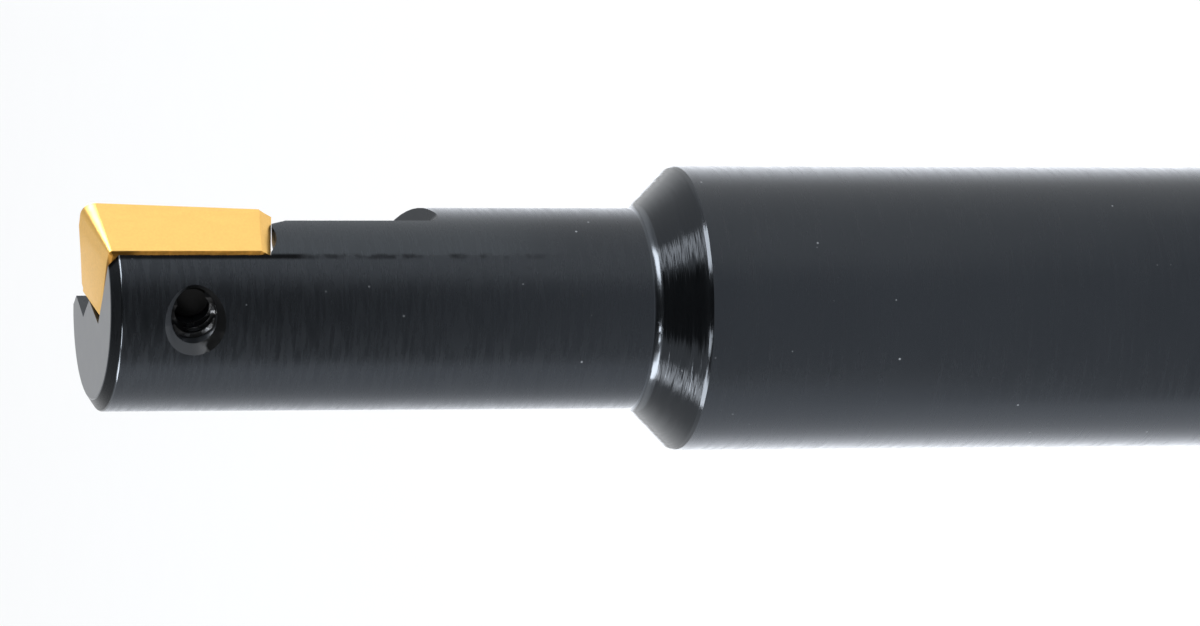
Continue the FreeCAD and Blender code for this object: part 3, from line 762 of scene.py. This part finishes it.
def grey_card(name, corners, edges, rise, round_tool=False):
    """Card that only reflections see, with soft edges.

    edges holds (direction, clear, dark) in metres: the card fades in from clear to dark along it,
    or by the direction seen from the tool's axis if round_tool is set.
    rise holds two heights on the tool, or two distances from its axis if round_tool is set, and the
    brightness of the card at each.
    """
    made = plate(name, corners)
    finish, tree, out = new_material(name.replace("_", " "))
    place = add_node(tree, "ShaderNodeTexCoord")
    point = place.outputs["Object"]
    if round_tool:
        reach = add_node(tree, "ShaderNodeVectorMath", {"operation": "LENGTH"},
                         links={0: point}).outputs["Value"]
        point = add_node(tree, "ShaderNodeVectorMath", {"operation": "NORMALIZE"},
                         links={0: point}).outputs["Vector"]
    else:
        # A point of the card shows on the tool at its own height plus the drop along the way there
        level = add_node(tree, "ShaderNodeVectorMath", {"operation": "MULTIPLY"}, {1: (1, 1, 0)}, {0: point})
        level = add_node(tree, "ShaderNodeVectorMath", {"operation": "LENGTH"},
                         links={0: level.outputs["Vector"]})
        height = add_node(tree, "ShaderNodeSeparateXYZ", links={"Vector": point})
        reach = add_node(tree, "ShaderNodeMath", {"operation": "MULTIPLY_ADD"}, {1: math.tan(MIRROR_DROP)},
                         {0: level.outputs["Value"], 2: height.outputs["Z"]}).outputs[0]
    shown = None
    for way, clear, dark in edges:
        across = add_node(tree, "ShaderNodeVectorMath", {"operation": "DOT_PRODUCT"}, {1: tuple(way)},
                          {0: point})
        edge = fade(tree, across.outputs["Value"], clear, dark)
        shown = edge if shown is None else times(tree, shown, edge)
    glow = add_node(tree, "ShaderNodeEmission", values={"Color": srgb("#F4F8FF")},
                    links={"Strength": fade(tree, reach, *rise)})
    clear = add_node(tree, "ShaderNodeBsdfTransparent")
    both = add_node(tree, "ShaderNodeMixShader",
                    links={0: shown, 1: clear.outputs["BSDF"], 2: glow.outputs["Emission"]})
    tree.links.new(both.outputs["Shader"], out.inputs["Surface"])
    made.data.materials.append(finish)
    made.visible_camera = made.visible_diffuse = made.visible_shadow = False
    made.visible_transmission = made.visible_volume_scatter = False
    return made


class ENDMILL_OT_stage(bpy.types.Operator):
    """Stage: plain pale floor, white light tent, cards, lamps and the camera"""
    bl_idname = "endmill.stage"
    bl_label = "Stage and camera"

    def execute(self, context):
        scene, settings = context.scene, context.scene.endmill_stage
        scene.view_settings.view_transform = "Standard"

        floor = plate("studio_floor", [(-3, -3, 0), (3, -3, 0), (3, 3, 0), (-3, 3, 0)])
        paper, tree, out = new_material("matt white paper")
        grain = add_node(tree, "ShaderNodeTexNoise", values={"Scale": 900.0})
        tone = add_node(tree, "ShaderNodeMix", {"data_type": "RGBA"},
                        {"A": shade(linear(settings.floor), 0.99), "B": linear(settings.floor)},
                        {"Factor": grain.outputs["Fac"]})
        sheet = add_node(tree, "ShaderNodeBsdfPrincipled",
                         values={"Roughness": 0.9, "Specular IOR Level": 0.0},
                         links={"Base Color": tone.outputs["Result"]})
        tree.links.new(sheet.outputs["BSDF"], out.inputs["Surface"])
        floor.data.materials.append(paper)

        # Cards that only reflections see: three in front for the dark middle of the bars, one above for
        # the shoulder, and two bright ones on the floor, behind the tool and to its lower side
        front = OUT * 90 * MM
        grey_card("front_card", rectangle(front, SIDE, UP, (-300, 1), (110, 240)),
                  [(SIDE, 84 * MM, 26 * MM), (SIDE, -240 * MM, -110 * MM)],
                  (44 * MM, 82 * MM, 0.84, 0.0))
        grey_card("floor_card", rectangle(UP * 0.4 * MM, SIDE, OUT, (-230, 12), (110, 89)),
                  [(SIDE, 84 * MM, 26 * MM), (SIDE, -150 * MM, -40 * MM)],
                  (0, 1, 0.78, 0.78))
        grey_card("front_wing", rectangle(front * 1.02, SIDE, UP, (26, 30), (200, 96)),
                  [(SIDE, 190 * MM, 150 * MM), (UP, 32 * MM, 62 * MM)],
                  (36 * MM, 90 * MM, 0.54, 0.44))
        grey_card("top_card", rectangle(UP * 310 * MM, SIDE, OUT, (-130, -60), (140, 130)),
                  [(SIDE, 128 * MM, 96 * MM), (SIDE, -116 * MM, -84 * MM), (OUT, -58 * MM, -38 * MM)],
                  (0, 1, 0.0, 0.0))
        grey_card("back_card", rectangle(UP * 0.4 * MM, SIDE, OUT, (-400, -400), (400, 11)),
                  [(-OUT, 0.40, 0.95)], (110 * MM, 280 * MM, 2.4, 1.7), round_tool=True)
        grey_card("side_card", rectangle(UP * 0.3 * MM, SIDE, OUT, (-400, -300), (-12, 300)),
                  [(-OUT * 0.3 - SIDE * 0.954, 0.55, 0.90)], (110 * MM, 220 * MM, 1.45, 1.15),
                  round_tool=True)

        world = bpy.data.worlds.new("white tent")
        scene.world = world
        world.use_nodes = True
        tree = world.node_tree
        tree.nodes.clear()
        # The tent is white round the sides and a little greyer overhead
        place = add_node(tree, "ShaderNodeTexCoord")
        split = add_node(tree, "ShaderNodeSeparateXYZ", links={"Vector": place.outputs["Generated"]})
        level = fade(tree, split.outputs["Z"], 0.22, 0.55, settings.sky, settings.sky * 0.6)
        tent = add_node(tree, "ShaderNodeBackground", values={"Color": srgb("#FBFDFF")},
                        links={"Strength": level})
        end = add_node(tree, "ShaderNodeOutputWorld")
        tree.links.new(tent.outputs["Background"], end.inputs["Surface"])

        # One soft light overhead for the floor; a strip and a small lamp on either side for the glints
        softbox("overhead", Vector((0.1, -0.1, 1.0)), 1.1, (1.0, 1.0), 6.4)
        for name, turn, rise, size, power in (
                ("strip_left", 54, 28, (0.30, 0.38), 4.6), ("strip_right", -62, 28, (0.48, 0.38), 7.4),
                ("glint_left", 86, 57, (0.08, 0.16), 0.16), ("glint_right", -102, 50, (0.09, 0.14), 0.17)):
            a, e = math.radians(turn), math.radians(rise)
            way = (OUT * math.cos(a) + SIDE * math.sin(a)) * math.cos(e) + UP * math.sin(e)
            softbox(name, way, 0.5, size, power, gloss_only=True)
        # A small lamp in front lights the crests of the thread
        softbox("thread_lamp", OUT * 0.745 - SIDE * 0.472 + UP * 0.448, 0.085, (0.03, 0.03), 0.035,
                gloss_only=True, aim=SCREW_Z)

        lens = bpy.data.cameras.new("camera")
        lens.sensor_fit, lens.sensor_width, lens.lens = "HORIZONTAL", 36.0, settings.lens
        lens.clip_start, lens.clip_end = 0.02, 20.0
        eye = bpy.data.objects.new("camera", lens)
        scene.collection.objects.link(eye)
        look = -UP * math.sin(settings.lean) - OUT * math.cos(settings.lean) - SIDE * CAMERA_SWAY
        look.normalize()
        top = (SIDE - look * look.dot(SIDE)).normalized()
        right = look.cross(top)
        right, top = (right * math.cos(settings.roll) + top * math.sin(settings.roll),
                      top * math.cos(settings.roll) - right * math.sin(settings.roll))
        rise = settings.aim + settings.distance * math.tan(settings.lean)
        place = OUT * settings.distance + UP * rise
        eye.matrix_world = Matrix((
            (right.x, top.x, -look.x, place.x), (right.y, top.y, -look.y, place.y),
            (right.z, top.z, -look.z, place.z), (0, 0, 0, 1)))
        scene.camera = eye
        return {"FINISHED"}


class ENDMILL_PT_panel(bpy.types.Panel):
    """Settings and pieces of the end mill"""
    bl_idname = "ENDMILL_PT_panel"
    bl_label = "Indexable End Mill"
    bl_space_type = "VIEW_3D"
    bl_region_type = "UI"
    bl_category = "End Mill"

    def draw(self, context):
        layout, scene = self.layout, context.scene
        for group, operator in (("endmill_stage", "endmill.stage"), ("endmill_holder", "endmill.holder"),
                                ("endmill_thread", "endmill.thread"), ("endmill_insert", "endmill.insert"),
                                (None, "endmill.screw")):
            box = layout.box()
            if group:
                settings = getattr(scene, group)
                for name in settings.__annotations__:
                    box.prop(settings, name)
            box.operator(operator)


GROUPS = {"endmill_holder": HolderSettings, "endmill_thread": ThreadSettings,
          "endmill_insert": InsertSettings, "endmill_stage": StageSettings}
CLASSES = [*GROUPS.values(), ENDMILL_OT_stage, ENDMILL_OT_holder, ENDMILL_OT_thread,
           ENDMILL_OT_insert, ENDMILL_OT_screw, ENDMILL_PT_panel]


def register():
    for cls in CLASSES:
        bpy.utils.register_class(cls)
    for name, group in GROUPS.items():
        setattr(bpy.types.Scene, name, bpy.props.PointerProperty(type=group))


def unregister():
    for name in GROUPS:
        delattr(bpy.types.Scene, name)
    for cls in reversed(CLASSES):
        bpy.utils.unregister_class(cls)


def main():
    """Builds the stage and every piece in order."""
    register()
    bpy.ops.endmill.stage()
    bpy.ops.endmill.holder()
    bpy.ops.endmill.thread()
    bpy.ops.endmill.insert()
    bpy.ops.endmill.screw()
    bpy.context.view_layer.update()


if __name__ == "__main__":
    main()
